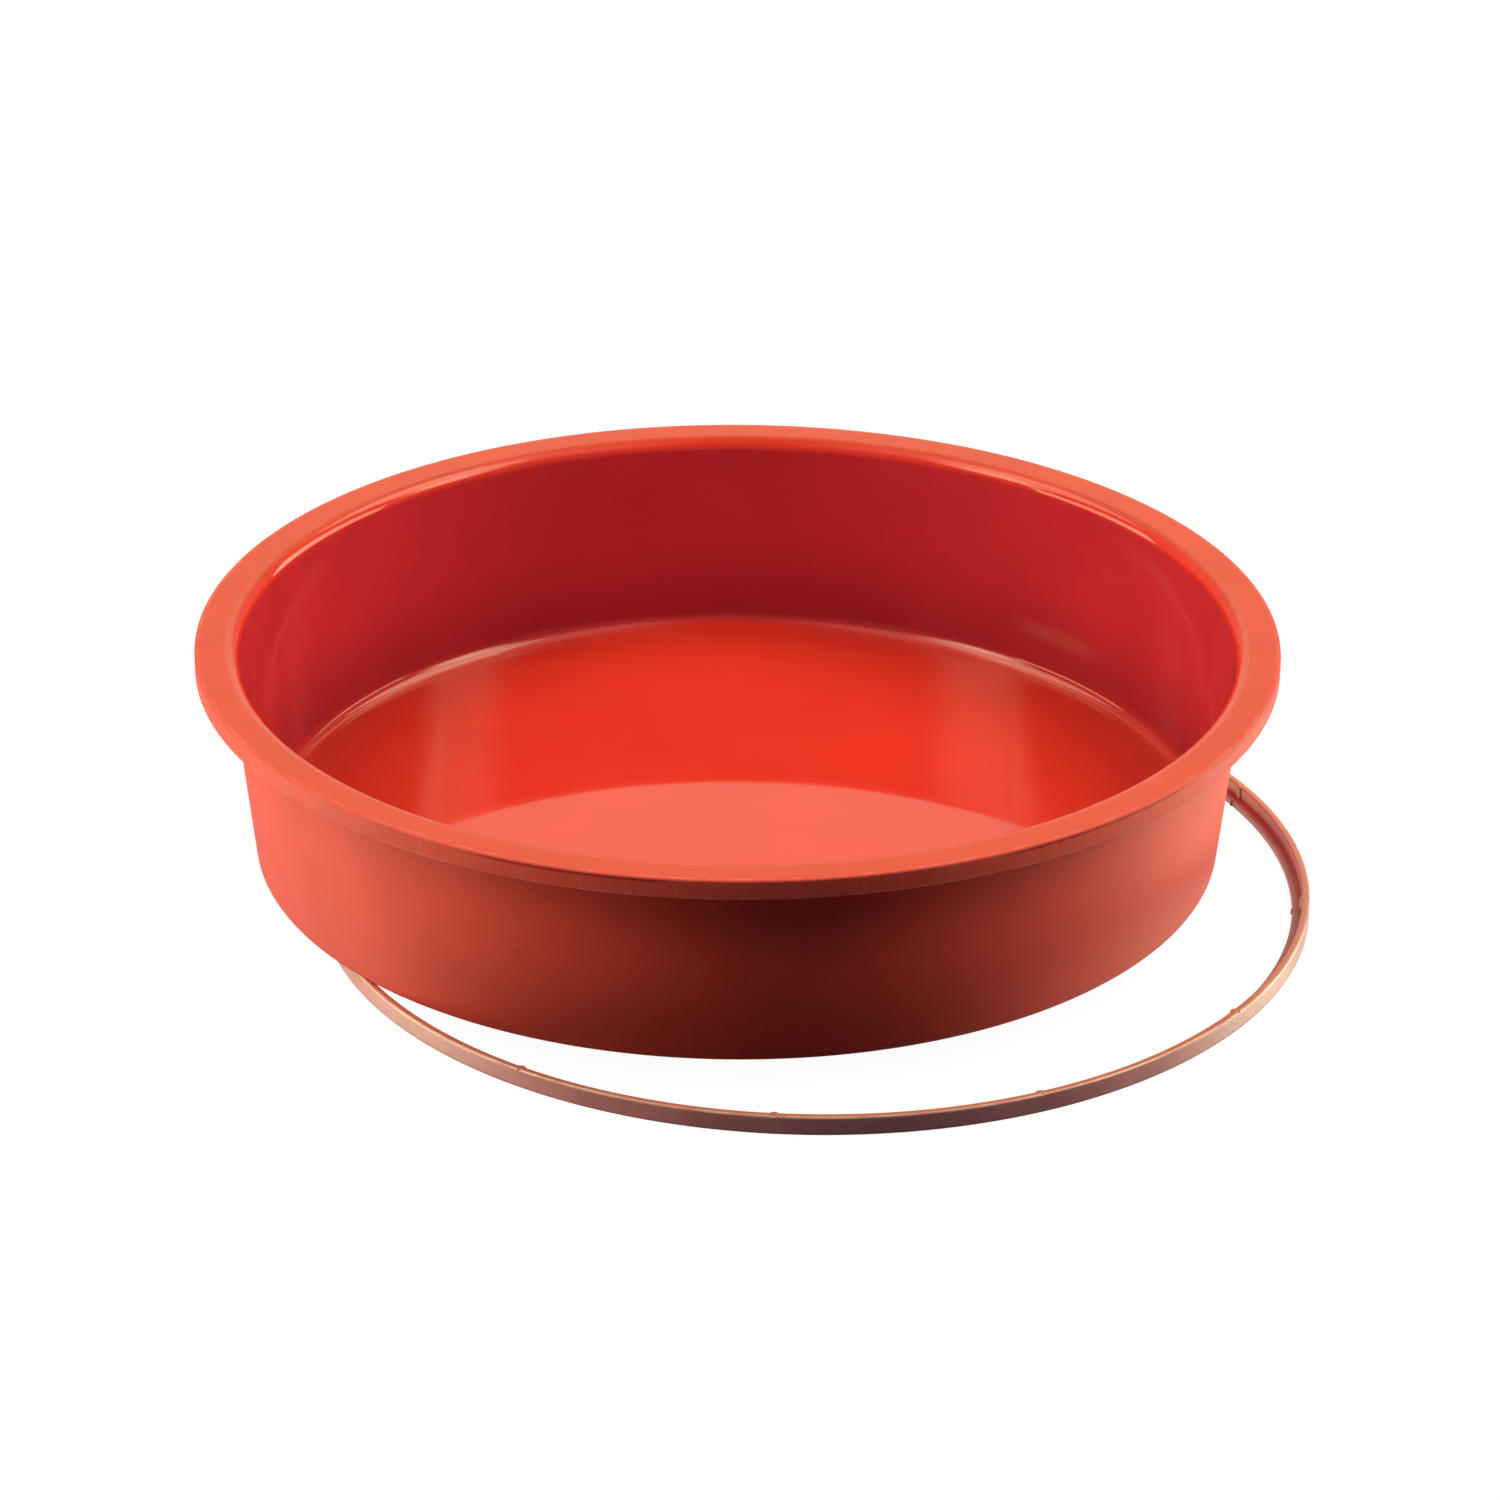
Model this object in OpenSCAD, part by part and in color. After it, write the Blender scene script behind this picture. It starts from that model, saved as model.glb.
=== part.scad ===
// Round silicone cake pan with its stiff support ring, in millimetres, +Z up.
// The pan is one flexible moulding: a flat floor, a leaning wall and a flat square-edged rim.
// The ring is a stiff hoop of L section, sized to cradle the pan's foot. It lies part of the way
// out from under the pan, so the foot stands on the hoop's top edge.
// The origin is where the pan's axis meets the table that the ring lies on.

/* [Pan] */
// Diameter across the rim
rim_d = 277.4; // [275:0.1:290]
// Thickness of the rim
rim_t = 5.2; // [4:0.1:8]
// Height from the foot to the top of the rim
pan_h = 56.3; // [45:0.1:65]
// Diameter of the foot
foot_d = 248.8; // [240:0.1:252]
// Lean of the wall away from upright, in degrees
wall_lean = 6.3; // [4:0.05:8]
// Thickness of the wall
wall_t = 2.8; // [2:0.1:4]
// Thickness of the floor
floor_t = 3.2; // [2.5:0.1:5]

/* [Pan rounding] */
// Radius between the rim's top and the inside of the wall
mouth_r = 3.5; // [1:0.1:4]
// Radius between the wall and the floor, inside
floor_r = 4; // [2:0.1:8]
// Radius round the foot
foot_r = 1.5; // [0.5:0.1:3]
// Radius in the corner under the rim
under_rim_r = 1; // [0.5:0.1:2]
// Radius of the rim's two outer edges
rim_edge_r = 0.6; // [0.3:0.1:1.5]

/* [Support ring] */
// Outer diameter of the ring
ring_d = 253; // [253:0.1:257]
// Height of the ring's upright
ring_h = 5; // [4:0.1:8]
// Thickness of the ring's upright
upright_t = 2; // [1.6:0.1:2]
// Width of the ledge inside the upright, where the foot sits
ledge_w = 2.4; // [1.5:0.1:5]
// Thickness of the ledge
ledge_t = 1.6; // [1.2:0.1:2.5]
// Radius of the ring's edges
ring_edge_r = 0.5; // [0.2:0.1:0.6]

/* [Nibs on the ring] */
// Number of places with a nib, evenly spaced
nib_count = 12; // [1:1:24]
// Direction of the first nib from the ring's centre, in degrees from +X
nib_start = -95; // [-180:0.1:180]
// Diameter of the round faces of the nibs inside the upright
nib_d = 2.4; // [1:0.1:3]
// How far those nibs stand out from the upright
nib_out = 0.6; // [0.3:0.1:1]
// Drop from the ring's top edge to the tops of those nibs
nib_drop = 0.1; // [0.05:0.05:1]
// Diameter of the half-round nibs on the ledge's inner edge
ledge_nib_d = 0.8; // [0.6:0.1:2]
// Diameter of the nicks across the upright's outer top edge
nick_d = 0.8; // [0.4:0.1:1.2]
// Length of each nick, in from the ring's outer face
nick_length = 0.9; // [0.5:0.1:1.5]

/* [Layout] */
// Distance from the pan's axis to the ring's centre
ring_offset = 32; // [0:1:266]
// Direction in which the ring is drawn out, in degrees from +X
ring_direction = -51; // [-180:1:180]
// Gap between the ring's top edge and the foot
stand_gap = 0.2; // [0.1:0.1:1]

/* [Hidden] */

// Segments of a full turn, and of the small rounds
turn_fn = 360;
round_fn = 64;

pan_z = ring_h + stand_gap;
foot_rad = foot_d / 2;
rim_rad = rim_d / 2;
rim_z = pan_h - rim_t;
// Radius of the wall's outer face at a height above the foot
function wall_rad(z) = foot_rad + z * tan(wall_lean);
// Thickness of the leaning wall, measured level
wall_level_t = wall_t / cos(wall_lean);
mouth_rad = wall_rad(pan_h) - wall_level_t;
floor_rad = wall_rad(floor_t) - wall_level_t;

ring_rad = ring_d / 2;
seat_rad = ring_rad - upright_t;
ledge_rad = seat_rad - ledge_w;

// Unit vector at an angle, for the sides of a corner
function unit(a) = [cos(a), sin(a)];

// The piece of section between a corner and the arc that rounds it. The corner's two sides leave
// it at the angles a and b. It fills an inside corner, or is cut from an outside one.
module corner(at, a, b, r) {
    half = (b - a) / 2;
    centre = at + unit(a + half) * r / sin(half);
    reach = r / tan(half);
    difference() {
        polygon([at, at + unit(a) * reach, centre, at + unit(b) * reach]);
        translate(centre) circle(r, $fn = round_fn);
    }
}

// Half of the pan's section, from its axis outwards, with the foot at height 0
module pan_section() {
    up = 90 - wall_lean;
    difference() {
        union() {
            polygon([
                [0, 0],
                [foot_rad, 0],
                [wall_rad(rim_z), rim_z],
                [rim_rad, rim_z],
                [rim_rad, pan_h],
                [mouth_rad, pan_h],
                [floor_rad, floor_t],
                [0, floor_t]
            ]);
            corner([floor_rad, floor_t], up, 180, floor_r);
            corner([wall_rad(rim_z), rim_z], up - 180, 0, under_rim_r);
        }
        corner([foot_rad, 0], up, 180, foot_r);
        corner([mouth_rad, pan_h], up - 180, 0, mouth_r);
        corner([rim_rad, rim_z], 90, 180, rim_edge_r);
        corner([rim_rad, pan_h], 180, 270, rim_edge_r);
    }
}

// Half of the ring's L section, with its underside at height 0
module ring_section() {
    difference() {
        polygon([
            [ledge_rad, 0],
            [ring_rad, 0],
            [ring_rad, ring_h],
            [seat_rad, ring_h],
            [seat_rad, ledge_t],
            [ledge_rad, ledge_t]
        ]);
        corner([ring_rad, 0], 90, 180, ring_edge_r);
        corner([ring_rad, ring_h], 180, 270, ring_edge_r);
        corner([seat_rad, ring_h], 270, 360, ring_edge_r);
        corner([ledge_rad, ledge_t], 270, 360, ring_edge_r);
    }
}

// One nib place: a low round-faced nib up the inside of the upright and one on the ledge's edge
module nibs() {
    translate([seat_rad + nib_d / 2 - nib_out, 0, 0])
        cylinder(h = ring_h - nib_drop, d = nib_d, $fn = round_fn);
    translate([ledge_rad, 0, 0]) cylinder(h = ledge_t - ring_edge_r, d = ledge_nib_d, $fn = round_fn);
}

// The nick across the outer top edge at each nib place. It runs out past the outer face.
module nick() {
    translate([ring_rad - nick_length, 0, ring_h])
        rotate([0, 90, 0]) cylinder(h = 2 * nick_length, d = nick_d, $fn = round_fn);
}

// Repeats its child at every nib place round the ring
module at_nib_places() {
    for (i = [0 : nib_count - 1])
        rotate([0, 0, nib_start + i * 360 / nib_count]) children();
}

// The flexible pan
module cake_pan() {
    color([0.86, 0.2, 0.13])
        translate([0, 0, pan_z])
            rotate_extrude($fn = turn_fn) pan_section();
}

// The stiff hoop that keeps the pan's foot round and level when the pan is carried
module support_ring() {
    color([0.66, 0.36, 0.28])
        translate([ring_offset * cos(ring_direction), ring_offset * sin(ring_direction), 0])
            difference() {
                union() {
                    rotate_extrude($fn = turn_fn) ring_section();
                    at_nib_places() nibs();
                }
                at_nib_places() nick();
            }
}

cake_pan();
support_ring();
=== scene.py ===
import math

import bpy
import numpy as np
from mathutils import Matrix, Vector


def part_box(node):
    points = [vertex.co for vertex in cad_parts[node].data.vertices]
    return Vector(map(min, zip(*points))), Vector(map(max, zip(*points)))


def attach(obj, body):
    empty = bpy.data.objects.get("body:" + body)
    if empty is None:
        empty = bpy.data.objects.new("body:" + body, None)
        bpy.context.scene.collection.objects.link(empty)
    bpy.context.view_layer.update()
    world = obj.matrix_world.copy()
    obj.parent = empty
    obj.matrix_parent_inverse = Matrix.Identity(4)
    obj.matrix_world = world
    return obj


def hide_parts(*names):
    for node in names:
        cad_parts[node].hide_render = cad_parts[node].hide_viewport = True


# A round silicone cake pan standing on a thin support ring, on a pale table.
# Everything is in metres, in the frame of the CAD model: +Z up, the pan's axis at x = y = 0.
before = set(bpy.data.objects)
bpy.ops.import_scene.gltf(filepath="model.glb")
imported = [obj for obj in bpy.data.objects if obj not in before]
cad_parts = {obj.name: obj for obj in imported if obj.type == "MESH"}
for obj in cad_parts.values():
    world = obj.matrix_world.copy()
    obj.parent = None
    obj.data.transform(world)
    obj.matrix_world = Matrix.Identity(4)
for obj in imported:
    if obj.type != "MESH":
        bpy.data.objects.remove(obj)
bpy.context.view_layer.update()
pan_low, pan_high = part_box("cake_pan")
ring_low, ring_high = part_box("support_ring")

MM = 0.001

# ---- Sizes ----------------------------------------------------------------------------------
rim_radius = (pan_high.x - pan_low.x) / 2
rim_top = pan_high.z
foot_z = pan_low.z
rim_thickness = 5.2 * MM
foot_radius = 124.4 * MM
wall_lean = math.radians(6.3)
wall_thickness = 2.8 * MM
floor_thickness = 3.2 * MM
mouth_round = 3.5 * MM
floor_round = 4.0 * MM
foot_round = 1.5 * MM
under_rim_round = 1.0 * MM
rim_edge_round = 0.6 * MM

ring_centre = Vector(((ring_low.x + ring_high.x) / 2, (ring_low.y + ring_high.y) / 2, 0))
ring_radius = (ring_high.y - ring_low.y) / 2
ring_height = ring_high.z
upright_thickness = 2.0 * MM
ledge_width = 2.4 * MM
ledge_thickness = 1.6 * MM
ring_edge_round = 0.5 * MM
nib_places = 12
nib_start = math.radians(-95)
nib_radius = 1.2 * MM
nib_out = 0.6 * MM
ledge_nib_radius = 0.4 * MM
nick_radius = 0.4 * MM

TURN_STEPS = 720

# The pan's zones, which are also its material slots
OUTSIDE, RIM, INSIDE = range(3)


# ---- Sections and lathes --------------------------------------------------------------------
def unit(angle):
    return np.array((math.cos(angle), math.sin(angle)))


def rounded(corner, side_a, side_b, radius, steps=8):
    """Points of the arc that rounds a corner of a section, in order from side_a to side_b.
    The sides leave the corner at the angles side_a and side_b."""
    half = (side_b - side_a) / 2
    turn = math.atan2(math.sin(half), math.cos(half))
    centre = np.array(corner) + unit(side_a + turn) * radius / abs(math.sin(turn))
    start = side_a - math.copysign(math.pi / 2, turn)
    sweep = -math.copysign(math.pi - 2 * abs(turn), turn)
    return [centre + radius * unit(start + sweep * i / steps) for i in range(steps + 1)]


def spread(a, b, steps):
    """Points strictly between a and b on a straight side."""
    a, b = np.array(a), np.array(b)
    return [a + (b - a) * i / steps for i in range(1, steps)]


def new_piece(name, vertices, faces, smooth=True):
    mesh = bpy.data.meshes.new(name)
    mesh.from_pydata([tuple(v) for v in vertices], [], faces)
    mesh.validate()
    mesh.polygons.foreach_set("use_smooth", [smooth] * len(mesh.polygons))
    mesh.update()
    piece = bpy.data.objects.new(name, mesh)
    bpy.context.scene.collection.objects.link(piece)
    return piece


def pan_outline():
    """The pan's section as (radius, height) points, from the middle of its underside out, up round
    the rim, and down the inside to the middle of the floor. It also gives the zone of each point
    and the height of the floor."""
    up = math.pi / 2 - wall_lean
    under_rim = rim_top - rim_thickness

    def wall_radius(z):
        return foot_radius + (z - foot_z) * math.tan(wall_lean)

    level_thickness = wall_thickness / math.cos(wall_lean)
    floor_z = foot_z + floor_thickness
    foot = (foot_radius, foot_z)
    armpit = (wall_radius(under_rim), under_rim)
    rim_low = (rim_radius, under_rim)
    rim_high = (rim_radius, rim_top)
    mouth = (wall_radius(rim_top) - level_thickness, rim_top)
    floor_edge = (wall_radius(floor_z) - level_thickness, floor_z)

    foot_arc = rounded(foot, math.pi, up, foot_round)
    armpit_arc = rounded(armpit, up - math.pi, 0, under_rim_round)
    low_arc = rounded(rim_low, math.pi, math.pi / 2, rim_edge_round)
    high_arc = rounded(rim_high, -math.pi / 2, -math.pi, rim_edge_round)
    mouth_arc = rounded(mouth, 0, up - math.pi, mouth_round, 16)
    floor_arc = rounded(floor_edge, up, math.pi, floor_round, 20)
    outside = (spread((0, foot_z), foot_arc[0], 8) + foot_arc
               + spread(foot_arc[-1], armpit_arc[0], 24) + armpit_arc
               + spread(armpit_arc[-1], low_arc[0], 3) + low_arc
               + spread(low_arc[-1], high_arc[0], 4) + high_arc)
    top = spread(high_arc[-1], mouth_arc[0], 5)
    inside = (mouth_arc + spread(mouth_arc[-1], floor_arc[0], 24) + floor_arc
              + spread(floor_arc[-1], (0, floor_z), 40))
    points = outside + top + inside
    zones = [OUTSIDE] * len(outside) + [RIM] * len(top) + [INSIDE] * len(inside)
    return points, zones, floor_z


def make_pan():
    """Turns the pan's section round its axis. The first and the last vertex are the middles of the
    underside and of the floor, and each point of the section gives a circle of n vertices."""
    points, zones, floor_z = pan_outline()
    n = TURN_STEPS
    turns = np.linspace(0, 2 * math.pi, n, endpoint=False)
    vertices = [(0, 0, foot_z)]
    for r, z in points:
        vertices += [(r * math.cos(t), r * math.sin(t), z) for t in turns]
    vertices.append((0, 0, floor_z))
    faces, slots = [], []
    for j in range(n):
        faces.append((0, 1 + (j + 1) % n, 1 + j))
        slots.append(OUTSIDE)
    for i in range(len(points) - 1):
        a, b = 1 + i * n, 1 + (i + 1) * n
        # A strip that joins the rim to a neighbour belongs to the rim.
        slot = RIM if RIM in zones[i:i + 2] else zones[i]
        for j in range(n):
            k = (j + 1) % n
            faces.append((a + j, a + k, b + k, b + j))
            slots.append(slot)
    a, last = 1 + (len(points) - 1) * n, len(vertices) - 1
    for j in range(n):
        faces.append((a + j, a + (j + 1) % n, last))
        slots.append(INSIDE)
    pan = new_piece("silicone_pan", vertices, faces)
    pan.data.polygons.foreach_set("material_index", slots)
    return pan


def ring_outline():
    """The ring's closed L section as (radius, height, part) points, counter-clockwise from the
    ledge's lower inner edge. The part says how the nibs and nicks move the point."""
    seat = ring_radius - upright_thickness
    ledge = seat - ledge_width
    low = rounded((ring_radius, 0), math.pi, math.pi / 2, ring_edge_round, 5)
    high = rounded((ring_radius, ring_height), -math.pi / 2, -math.pi, ring_edge_round, 6)
    inner = rounded((seat, ring_height), 0, -math.pi / 2, ring_edge_round, 6)
    tip = rounded((ledge, ledge_thickness), 0, -math.pi / 2, ring_edge_round, 5)
    rows = [((ledge, 0), "ledge")]
    rows += [(p, "") for p in spread((ledge, 0), low[0], 4) + low]
    rows += [(p, "") for p in spread(low[-1], high[0], 4)]
    rows += [(p, "nick") for p in high]
    rows += [(p, "") for p in spread(high[-1], inner[0], 3)]
    rows += [(p, "nib") for p in inner]
    rows += [(p, "nib") for p in spread(inner[-1], (seat, ledge_thickness), 4)]
    rows += [((seat, ledge_thickness), "nib")]
    rows += [(p, "") for p in spread((seat, ledge_thickness), tip[0], 3)]
    rows += [(p, "ledge") for p in tip]
    return rows


def half_round(offset, radius):
    """How far a half-round bump of that radius stands out at a distance from its middle."""
    return math.sqrt(max(radius ** 2 - offset ** 2, 0))


def make_ring():
    """Turns the ring's section round its own centre, with closer steps at the nibs."""
    rows = ring_outline()
    pitch = 2 * math.pi / nib_places
    pitch_steps, nib_steps = 60, 12
    turns = set()
    for i in range(nib_places):
        middle = nib_start + i * pitch
        turns |= {middle + pitch * j / pitch_steps for j in range(pitch_steps)}
        turns |= {middle + math.asin(j / nib_steps * nib_radius / ring_radius)
                  for j in range(-nib_steps - 1, nib_steps + 2)}
    turns = sorted({round(t % (2 * math.pi), 6) for t in turns})
    vertices = []
    for t in turns:
        from_nib = (t - nib_start + pitch / 2) % pitch - pitch / 2
        for (r, z), part in rows:
            side = from_nib * r
            if part == "nib":
                r -= max(half_round(side, nib_radius) - (nib_radius - nib_out), 0)
            elif part == "ledge":
                r -= half_round(side, ledge_nib_radius)
            elif part == "nick":
                z = min(z, ring_height - half_round(side, nick_radius))
            vertices.append(ring_centre + Vector((r * math.cos(t), r * math.sin(t), z)))
    n, m = len(turns), len(rows)
    faces = []
    for i in range(n):
        a, b = i * m, (i + 1) % n * m
        for j in range(m):
            k = (j + 1) % m
            faces.append((a + j, b + j, b + k, a + k))
    return new_piece("nylon_ring", vertices, faces)


# ---- Materials ------------------------------------------------------------------------------
class Nodes:
    """An emptied node tree, with a short way to add nodes and to link them."""

    def __init__(self, tree):
        self.tree = tree
        tree.nodes.clear()

    def add(self, kind, inputs=None, **settings):
        """Adds a node. Each of its inputs is linked from a socket or set to a value."""
        node = self.tree.nodes.new(kind)
        for key, value in settings.items():
            setattr(node, key, value)
        for key, value in (inputs or {}).items():
            self.feed(node.inputs[key], value)
        return node

    def feed(self, socket, value):
        if isinstance(value, bpy.types.NodeSocket):
            self.tree.links.new(value, socket)
        else:
            socket.default_value = value

    def math(self, operation, a, b=0.0):
        return self.add("ShaderNodeMath", {0: a, 1: b}, operation=operation).outputs[0]

    def ramp(self, value, low, high, to_low=0.0, to_high=1.0):
        """Smoothly maps low..high of a value to to_low..to_high."""
        node = self.add("ShaderNodeMapRange", {
            "Value": value, "From Min": low, "From Max": high,
            "To Min": to_low, "To Max": to_high}, interpolation_type="SMOOTHSTEP")
        return node.outputs["Result"]


class Material(Nodes):
    """A material of one Principled shader."""

    def __init__(self, name):
        self.material = bpy.data.materials.new(name)
        self.material.use_nodes = True
        super().__init__(self.material.node_tree)
        self.shader = self.add("ShaderNodeBsdfPrincipled")
        self.add("ShaderNodeOutputMaterial", {"Surface": self.shader.outputs["BSDF"]})

    def set(self, **values):
        for key, value in values.items():
            self.feed(self.shader.inputs[key.replace("_", " ")], value)


# Colours of the two real materials. The outside of the pan is matt and dusty, the inside is as
# glossy as the mould, and the floor's lighter red is a painted glow of the table's light through
# it.
OUTSIDE_RED = (0.70, 0.061, 0.036)
RIM_RED = (0.58, 0.048, 0.015)
WALL_RED = (0.53, 0.029, 0.042)
FLOOR_GLOW_RED = (0.70, 0.035, 0.017)
# Painted light: a lighter red for the rounding at the pan's mouth, where light falls.
MOUTH_LIT_RED = (0.74, 0.040, 0.016)
DUST_AND_REFLECTION = (0.85, 0.36, 0.28)
RING_BROWN = (0.47, 0.165, 0.160)
# Painted light: the ring's top face is a lighter, warmer copy of its brown.
RING_LIT_TOP = (0.54, 0.165, 0.105)
# Pale cream for the ring's painted highlight line and for its specks.
RING_HIGHLIGHT_AND_SPECK_CREAM = (0.72, 0.42, 0.32)


def rgba(colour, factor=1.0):
    return (colour[0] * factor, colour[1] * factor, colour[2] * factor, 1)


class Surface(Material):
    """A material with the patterns that the pan and the ring share."""

    def __init__(self, name):
        super().__init__(name)
        self.place = self.add("ShaderNodeTexCoord").outputs["Object"]
        axes = self.add("ShaderNodeSeparateXYZ", {"Vector": self.place})
        self.across, self.depth, self.height = axes.outputs

    def radius(self, centre=Vector((0, 0, 0))):
        """The distance from an upright axis through a point."""
        flat = self.add("ShaderNodeCombineXYZ", {"X": self.math("SUBTRACT", self.across, centre.x),
                                                 "Y": self.math("SUBTRACT", self.depth, centre.y)})
        length = self.add("ShaderNodeVectorMath", {0: flat.outputs[0]}, operation="LENGTH")
        return length.outputs["Value"]

    def noise(self, size, detail=3.0, stretch=1.0, seed=0.0):
        """Noise with features about as large as size, drawn out along Z by stretch."""
        point = self.add("ShaderNodeMapping", {
            "Vector": self.place, "Location": (seed, seed, seed),
            "Scale": (1 / size, 1 / size, 1 / size / stretch)}).outputs[0]
        return self.add("ShaderNodeTexNoise", {
            "Vector": point, "Scale": 1.0, "Detail": detail}).outputs["Fac"]

    def specks(self, size, share, radius, seed=0.0):
        """1 on small dots. A share of the cells of that size holds a dot."""
        point = self.add("ShaderNodeMapping", {
            "Vector": self.place, "Location": (seed, seed, seed),
            "Scale": (1 / size, 1 / size, 1 / size)}).outputs[0]
        cells = self.add("ShaderNodeTexVoronoi", {"Vector": point, "Scale": 1.0})
        pick = self.add("ShaderNodeSeparateColor", {"Color": cells.outputs["Color"]})
        chosen = self.math("LESS_THAN", pick.outputs[0], share)
        dot = self.ramp(cells.outputs["Distance"], radius / size, 0.6 * radius / size)
        return self.math("MULTIPLY", chosen, dot)

    def mix(self, factor, a, b):
        return self.blend("MIX", factor, a, b)

    def blend(self, kind, factor, a, b):
        node = self.add("ShaderNodeMix", {"Factor": factor}, data_type="RGBA", blend_type=kind)
        colours = [socket for socket in node.inputs if socket.type == "RGBA"]
        self.feed(colours[0], a)
        self.feed(colours[1], b)
        return next(socket for socket in node.outputs if socket.type == "RGBA")

    def bump(self, height, strength, depth, normal=None):
        inputs = {"Height": height, "Strength": strength, "Distance": depth}
        if normal is not None:
            inputs["Normal"] = normal
        return self.add("ShaderNodeBump", inputs).outputs["Normal"]


def outside_material():
    """Matt silicone of the outer wall, the foot and the rim's edge, with fine upright streaks."""
    m = Surface("silicone_outside")
    streaks = m.noise(1.3 * MM, detail=4, stretch=26)
    clouds = m.noise(38 * MM, detail=3, seed=3)
    grain = m.noise(0.35 * MM, detail=2, seed=5)
    colour = m.mix(m.ramp(clouds, 0.3, 0.7), rgba(OUTSIDE_RED, 0.93), rgba(OUTSIDE_RED, 1.05))
    colour = m.mix(m.ramp(streaks, 0.55, 0.8, 0.0, 0.05), colour, rgba(DUST_AND_REFLECTION, 0.75))
    colour = m.mix(m.ramp(streaks, 0.45, 0.2, 0.0, 0.15), colour, rgba(OUTSIDE_RED, 0.75))
    # Painted shade: the wall's colour darkens towards the foot, most of all at the front.
    low_wall_shade = m.ramp(m.height, foot_z + 36 * MM, foot_z + 2 * MM)
    share = m.ramp(m.depth, -88 * MM, -124 * MM, 0.2, 0.6)
    colour = m.mix(m.math("MULTIPLY", low_wall_shade, share), colour, rgba(OUTSIDE_RED, 0.2))
    # The rim's edge keeps the mould's upright tool marks and, here and there, a painted shadow: a
    # dark line below its top corner, as under a lip. Its lower corner is rubbed paler.
    low_edge = rim_top - rim_thickness
    on_rim = m.ramp(m.radius(), rim_radius - 1.2 * MM, rim_radius - 0.4 * MM)
    marks = m.math("MULTIPLY", on_rim, m.ramp(m.noise(0.45 * MM, detail=2, stretch=60, seed=15),
                                              0.40, 0.62, 0.0, 0.14))
    colour = m.mix(marks, colour, rgba(DUST_AND_REFLECTION, 0.6))
    lip_shadow = m.math("MULTIPLY", m.ramp(m.height, rim_top - 1.5 * MM, rim_top - 0.8 * MM),
                   m.ramp(m.height, rim_top - 0.35 * MM, rim_top - 0.6 * MM))
    lip_shadow = m.math("MULTIPLY", lip_shadow, m.ramp(m.noise(60 * MM, detail=1, seed=19), 0.46, 0.56))
    colour = m.mix(m.math("MULTIPLY", lip_shadow, 0.7), colour, rgba((0.30, 0.006, 0.005)))
    rubbed = m.math("MULTIPLY", on_rim, m.ramp(m.height, low_edge + 0.9 * MM, low_edge + 0.1 * MM))
    pale_edge = m.math("MULTIPLY", rubbed, m.ramp(m.noise(6 * MM, seed=11), 0.35, 0.6, 0.15, 0.5))
    colour = m.mix(pale_edge, colour, rgba(DUST_AND_REFLECTION, 0.9))
    foot = m.ramp(m.height, foot_z + 2.0 * MM, foot_z)
    scuffed = m.math("MULTIPLY", foot, m.ramp(m.noise(3 * MM, seed=13), 0.5, 0.7, 0.0, 0.35))
    colour = m.mix(scuffed, colour, rgba(DUST_AND_REFLECTION, 0.6))
    colour = m.mix(m.specks(5 * MM, 0.4, 0.22 * MM), colour, rgba(DUST_AND_REFLECTION, 0.8))
    m.set(Base_Color=colour, Roughness=m.ramp(grain, 0.3, 0.7, 0.50, 0.62), IOR=1.43,
          Specular_IOR_Level=0.28)
    normal = m.bump(streaks, 0.25, 0.05 * MM)
    m.set(Normal=m.bump(grain, 0.2, 0.03 * MM, normal))
    return m.material


def rim_material():
    """Satin top of the rim, with fine dust and small scuffs."""
    m = Surface("silicone_rim")
    clouds = m.noise(24 * MM, detail=3, seed=7)
    grain = m.noise(0.5 * MM, detail=3, seed=9)
    colour = m.mix(m.ramp(clouds, 0.3, 0.7), rgba(RIM_RED, 0.95), rgba(RIM_RED, 1.04))
    colour = m.mix(m.ramp(grain, 0.6, 0.8, 0.0, 0.12), colour, rgba(DUST_AND_REFLECTION))
    # The outer edge is rubbed paler.
    edge = m.ramp(m.radius(), rim_radius - 1.4 * MM, rim_radius - 0.5 * MM)
    pale_edge = m.math("MULTIPLY", edge, m.ramp(m.noise(5 * MM, seed=12), 0.4, 0.65, 0.05, 0.35))
    colour = m.mix(pale_edge, colour, rgba(DUST_AND_REFLECTION, 0.95))
    colour = m.mix(m.specks(6 * MM, 0.20, 0.17 * MM, seed=2), colour, rgba(DUST_AND_REFLECTION, 1.1))
    m.set(Base_Color=colour, Roughness=m.ramp(grain, 0.3, 0.7, 0.30, 0.38), IOR=1.43,
          Specular_IOR_Level=0.3)
    m.set(Normal=m.bump(grain, 0.15, 0.02 * MM))
    return m.material


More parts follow.
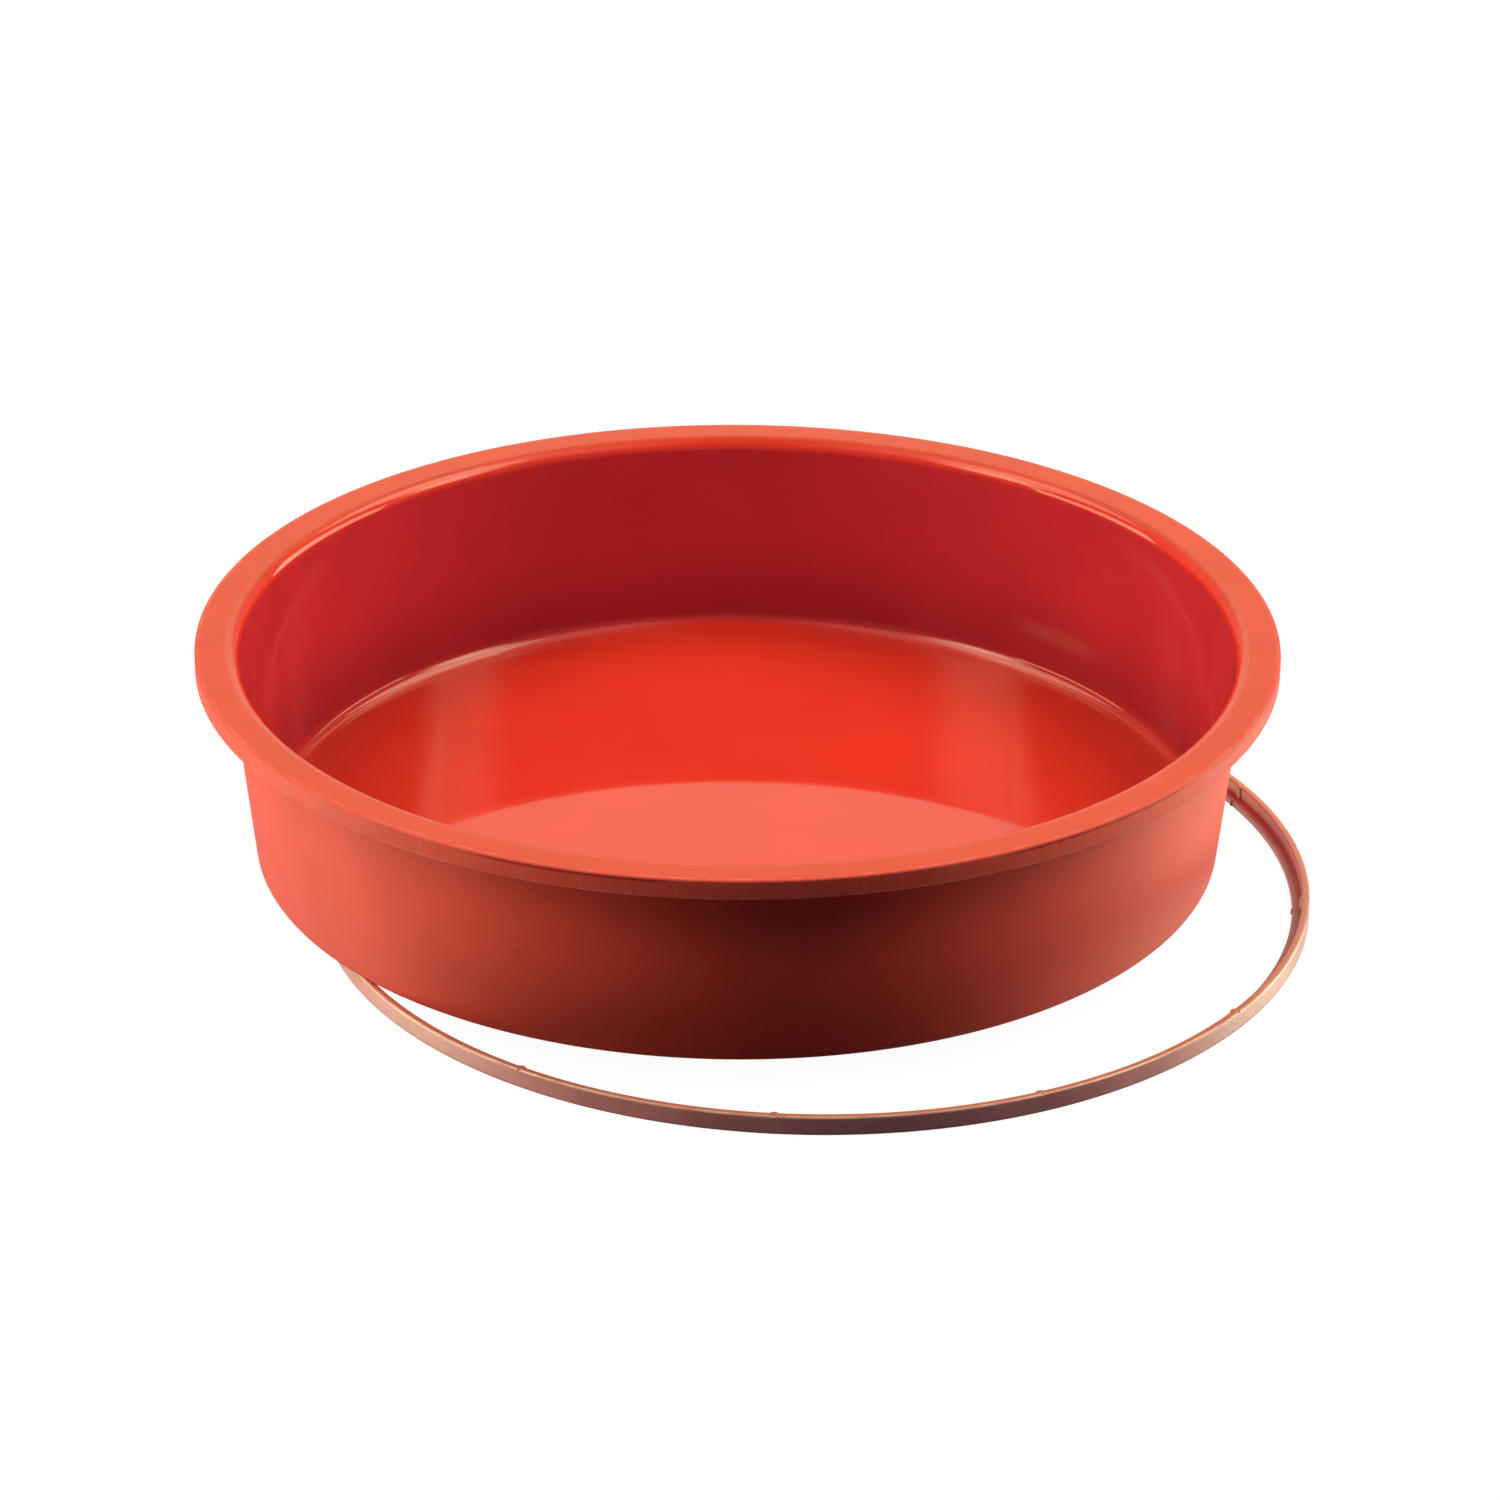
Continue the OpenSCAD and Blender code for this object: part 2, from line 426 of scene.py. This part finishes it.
def inside_material():
    """Glossy inside of the pan. The mould's polish leaves a faint waviness."""
    m = Surface("silicone_inside")
    floor_height = foot_z + floor_thickness
    on_floor = m.ramp(m.height, floor_height + 3.5 * MM, floor_height + 0.5 * MM)
    clouds = m.noise(30 * MM, detail=3, seed=17)
    at_mouth = m.ramp(m.height, rim_top - 3.6 * MM, rim_top - 2.0 * MM)
    at_rim = m.ramp(m.height, rim_top - 1.1 * MM, rim_top - 0.1 * MM)
    # Painted shade: the wall's colour darkens towards the floor.
    low_wall_shade = m.ramp(m.height, floor_height + 28 * MM, floor_height + 4 * MM)
    colour = m.mix(low_wall_shade, rgba(WALL_RED), rgba(WALL_RED, 0.76))
    # Painted light and shade: the floor is a lighter red, a glow of the table's light through it,
    # painted darker towards the left and right.
    floor_side_shade = m.ramp(m.math("ABSOLUTE", m.across), 60 * MM, 112 * MM)
    colour = m.mix(on_floor, colour, m.mix(floor_side_shade, rgba(FLOOR_GLOW_RED), rgba(FLOOR_GLOW_RED, 0.83)))
    # Painted light: the mouth's rounding gets a lighter red.
    colour = m.mix(at_mouth, colour, rgba(MOUTH_LIT_RED))
    colour = m.mix(at_rim, colour, rgba(RIM_RED))
    shade = m.mix(m.ramp(clouds, 0.3, 0.7), rgba((0.93, 0.93, 0.93)), rgba((1, 1, 1)))
    colour = m.blend("MULTIPLY", 1.0, colour, shade)
    colour = m.mix(m.specks(14 * MM, 0.10, 0.18 * MM, seed=4), colour, rgba(DUST_AND_REFLECTION, 0.8))
    # A painted reflection: one pale patch, low on the wall at the back right.
    along = m.math("ABSOLUTE", m.math("SUBTRACT", m.across, m.depth))
    beside = m.math("ABSOLUTE", m.math("SUBTRACT", m.height, 20.5 * MM))
    reflection_patch = m.math("MULTIPLY", m.ramp(along, 26 * MM, 8 * MM), m.ramp(beside, 3.4 * MM, 0.8 * MM))
    reflection_patch = m.math("MULTIPLY", reflection_patch, m.ramp(m.math("ADD", m.across, m.depth), 0.12, 0.16))
    colour = m.mix(m.math("MULTIPLY", reflection_patch, 0.10), colour, rgba(DUST_AND_REFLECTION, 0.9))
    smudges = m.ramp(m.noise(18 * MM, detail=5, seed=21), 0.55, 0.75)
    on_wall = m.ramp(m.height, floor_height + 1.0 * MM, floor_height + 4.0 * MM, 0.035, 0.07)
    dull = m.math("ADD", m.math("MULTIPLY", smudges, 0.03), m.math("MULTIPLY", at_rim, 0.24))
    m.set(Base_Color=colour, Roughness=m.math("ADD", on_wall, dull), IOR=1.43)
    waves = m.noise(40 * MM, detail=1, seed=23)
    m.set(Normal=m.bump(waves, 0.5, 0.05 * MM))
    return m.material


def ring_material():
    """Stiff reddish-brown plastic with a fine grain and a top rubbed smoother, with painted light
    on its top face and outer top corner.
    """
    m = Surface("ring_nylon")
    clouds = m.noise(14 * MM, detail=3, seed=31)
    grain = m.noise(0.6 * MM, detail=3, seed=33)
    colour = m.mix(m.ramp(clouds, 0.3, 0.7), rgba(RING_BROWN, 0.88), rgba(RING_BROWN, 1.08))
    on_top = m.ramp(m.height, ring_height - 0.35 * MM, ring_height - 0.10 * MM)
    # Painted light: the top face is coloured lighter, as lit from above.
    colour = m.mix(on_top, colour, rgba(RING_LIT_TOP))
    # Painted highlight: the outer top corner is painted a pale cream line, where it catches the
    # light.
    outer = m.ramp(m.radius(ring_centre), ring_radius - 0.7 * MM, ring_radius - 0.35 * MM)
    corner = m.math("MULTIPLY", outer,
                    m.ramp(m.height, ring_height - 0.6 * MM, ring_height - 0.35 * MM))
    pale_edge = m.math("MULTIPLY", corner, m.ramp(m.noise(7 * MM, seed=35), 0.35, 0.6, 0.35, 0.8))
    colour = m.mix(pale_edge, colour, rgba(RING_HIGHLIGHT_AND_SPECK_CREAM))
    # Painted shade: the ring's lowest millimetre is darkened, where it meets the table.
    low_edge = m.ramp(m.height, 0.9 * MM, 0.2 * MM, 0.0, 0.5)
    colour = m.mix(low_edge, colour, rgba(RING_BROWN, 0.6))
    colour = m.mix(m.specks(6 * MM, 0.12, 0.2 * MM, seed=6), colour, rgba(RING_HIGHLIGHT_AND_SPECK_CREAM))
    # The top is rubbed smoother than the faces, so its corners catch a line of light.
    polish = m.ramp(m.height, ring_height - 0.75 * MM, ring_height - 0.35 * MM, 0.0, 0.2)
    rough = m.math("SUBTRACT", m.ramp(grain, 0.3, 0.7, 0.36, 0.48), polish)
    m.set(Base_Color=colour, Roughness=rough, IOR=1.5, Specular_IOR_Level=0.6)
    m.set(Normal=m.bump(grain, 0.25, 0.03 * MM))
    return m.material


# ---- The object -----------------------------------------------------------------------------
pan = make_pan()
pan.data.materials.append(outside_material())
pan.data.materials.append(rim_material())
pan.data.materials.append(inside_material())
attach(pan, "pan")
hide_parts("cake_pan")

ring = make_ring()
ring.data.materials.append(ring_material())
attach(ring, "ring")
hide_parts("support_ring")


# ---- Stage, light and camera ----------------------------------------------------------------
def make_floor():
    """A pale table, lit almost evenly from within, so that only a faint shadow shows on it. It
    doesn't light the pan: the sky's lower half stands in for the light off the table."""
    half = 6
    corners = [(-half, -half, 0), (half, -half, 0), (half, half, 0), (-half, half, 0)]
    floor = new_piece("floor", corners, [(0, 1, 2, 3)], smooth=False)
    # Just clear of the ring's underside, so that the two faces don't flicker
    floor.location.z = -0.05 * MM
    m = Material("floor")
    m.set(Base_Color=(0.06, 0.06, 0.06, 1), Roughness=1.0, Emission_Color=(1, 1, 1, 1),
          Emission_Strength=0.96, Specular_IOR_Level=0.0)
    floor.data.materials.append(m.material)
    floor.visible_diffuse = False
    floor.visible_glossy = False
    floor.visible_shadow = False


LAMP_WHITE = (1.0, 0.94, 0.62)
COOL_WHITE = (1.0, 1.6, 2.8)


def soft_edges(light):
    """Lets a light fade out smoothly towards its edges."""
    light.use_nodes = True
    nodes = Nodes(light.node_tree)
    place = nodes.add("ShaderNodeSeparateXYZ", {
        "Vector": nodes.add("ShaderNodeNewGeometry").outputs["Parametric"]})
    # The distance to the nearer edge, as a share of the light's side
    margins = [nodes.math("PINGPONG", place.outputs[axis], 0.5) for axis in "XY"]
    fades = [nodes.ramp(margin, 0.0, 0.4) for margin in margins]
    glow = nodes.add("ShaderNodeEmission", {"Strength": nodes.math("MULTIPLY", *fades)})
    nodes.add("ShaderNodeOutputLight", {"Surface": glow.outputs[0]})


def softbox(name, azimuth, elevation, distance, width, height, radiance):
    """A flat rectangular light that faces the pan. The azimuth is in degrees from +X towards +Y,
    and the radiance is how bright the light looks, in the units of the picture."""
    light = bpy.data.lights.new(name, "AREA")
    light.shape = "RECTANGLE"
    light.size, light.size_y = width, height
    light.energy = math.pi * width * height * radiance
    light.color = LAMP_WHITE
    lamp = bpy.data.objects.new(name, light)
    bpy.context.scene.collection.objects.link(lamp)
    a, e = math.radians(azimuth), math.radians(elevation)
    away = Vector((math.cos(e) * math.cos(a), math.cos(e) * math.sin(a), math.sin(e)))
    lamp.location = distance * away
    lamp.rotation_euler = (-away).to_track_quat("-Z", "Y").to_euler()
    lamp.visible_camera = False
    return light


def make_lights():
    """Softboxes at the left and right, low and high, a soft-edged light at each front corner and a
    white backdrop behind. The camera's side is dark."""
    softbox("left_softbox", 177, -4, 2.0, 1.4, 2.0, 5.2)
    softbox("right_softbox", 22, -4, 2.0, 1.5, 2.0, 5.2)
    soft_edges(softbox("front_left_strip", 200, 38, 2.0, 1.1, 1.2, 8.0))
    soft_edges(softbox("front_right_strip", -10, 38, 2.0, 1.0, 1.2, 7.0))
    softbox("high_left_softbox", 168, 52, 2.0, 1.3, 0.9, 3.2)
    softbox("high_right_softbox", 20, 52, 2.0, 1.4, 0.9, 4.0)
    softbox("backdrop", 90, 22, 2.6, 1.4, 1.5, 0.88)


def make_world():
    """Soft fill: the sky is darkest and coolest on the camera's side, and its lower half is the
    light that the white table would give. The camera itself sees plain white."""
    world = bpy.data.worlds.new("studio")
    bpy.context.scene.world = world
    world.use_nodes = True
    n = Nodes(world.node_tree)
    axes = n.add("ShaderNodeSeparateXYZ", {
        "Vector": n.add("ShaderNodeTexCoord").outputs["Generated"]})
    x, y, z = axes.outputs
    sideways = n.math("ABSOLUTE", x)
    backward = n.math("ADD", y, n.math("MULTIPLY", sideways, 0.5))
    sky = n.ramp(backward, -0.1, 0.9, 0.0, 0.35)
    overhead = n.math("MULTIPLY", n.ramp(z, 0.6, 0.9, 0.0, 1.2), n.ramp(sideways, 0.08, 0.4))
    table = n.math("MULTIPLY", n.ramp(z, 0.0, -0.25), n.ramp(backward, 0.0, 0.6, 0.0, 0.4))
    front = n.math("MULTIPLY", n.ramp(y, 0.0, -0.5, 0.0, 0.085), n.ramp(z, -0.05, 0.1))
    fill = n.math("ADD", n.math("ADD", sky, overhead), table)
    seen = n.add("ShaderNodeLightPath").outputs["Is Camera Ray"]
    white = n.add("ShaderNodeBackground", {
        "Color": (1, 1, 1, 1), "Strength": n.math("MAXIMUM", seen, fill)})
    cool = n.add("ShaderNodeBackground", {"Color": rgba(COOL_WHITE), "Strength": front})
    both = n.add("ShaderNodeAddShader", {0: white.outputs[0], 1: cool.outputs[0]})
    n.add("ShaderNodeOutputWorld", {"Surface": both.outputs[0]})


def make_camera():
    """Looks down at the pan from the front, at the photograph's angle and distance."""
    elevation = math.radians(24.77)
    distance = 1.5367
    rim_middle = Vector((0, 0, rim_top))
    aim = rim_middle + Vector((0.0033, 0, -0.033))
    camera = bpy.data.cameras.new("camera")
    camera.lens = 144
    camera.sensor_width = 36
    camera.clip_start, camera.clip_end = 0.1, 50
    holder = bpy.data.objects.new("camera", camera)
    bpy.context.scene.collection.objects.link(holder)
    back = Vector((0, -math.cos(elevation), math.sin(elevation)))
    holder.location = rim_middle + distance * back
    turn = (aim - holder.location).to_track_quat("-Z", "Y").to_matrix()
    roll = Matrix.Rotation(math.radians(0.36), 3, "Z")
    holder.rotation_euler = (turn @ roll).to_euler()
    bpy.context.scene.camera = holder


make_floor()
make_lights()
make_world()
make_camera()
bpy.context.scene.view_settings.view_transform = "Standard"
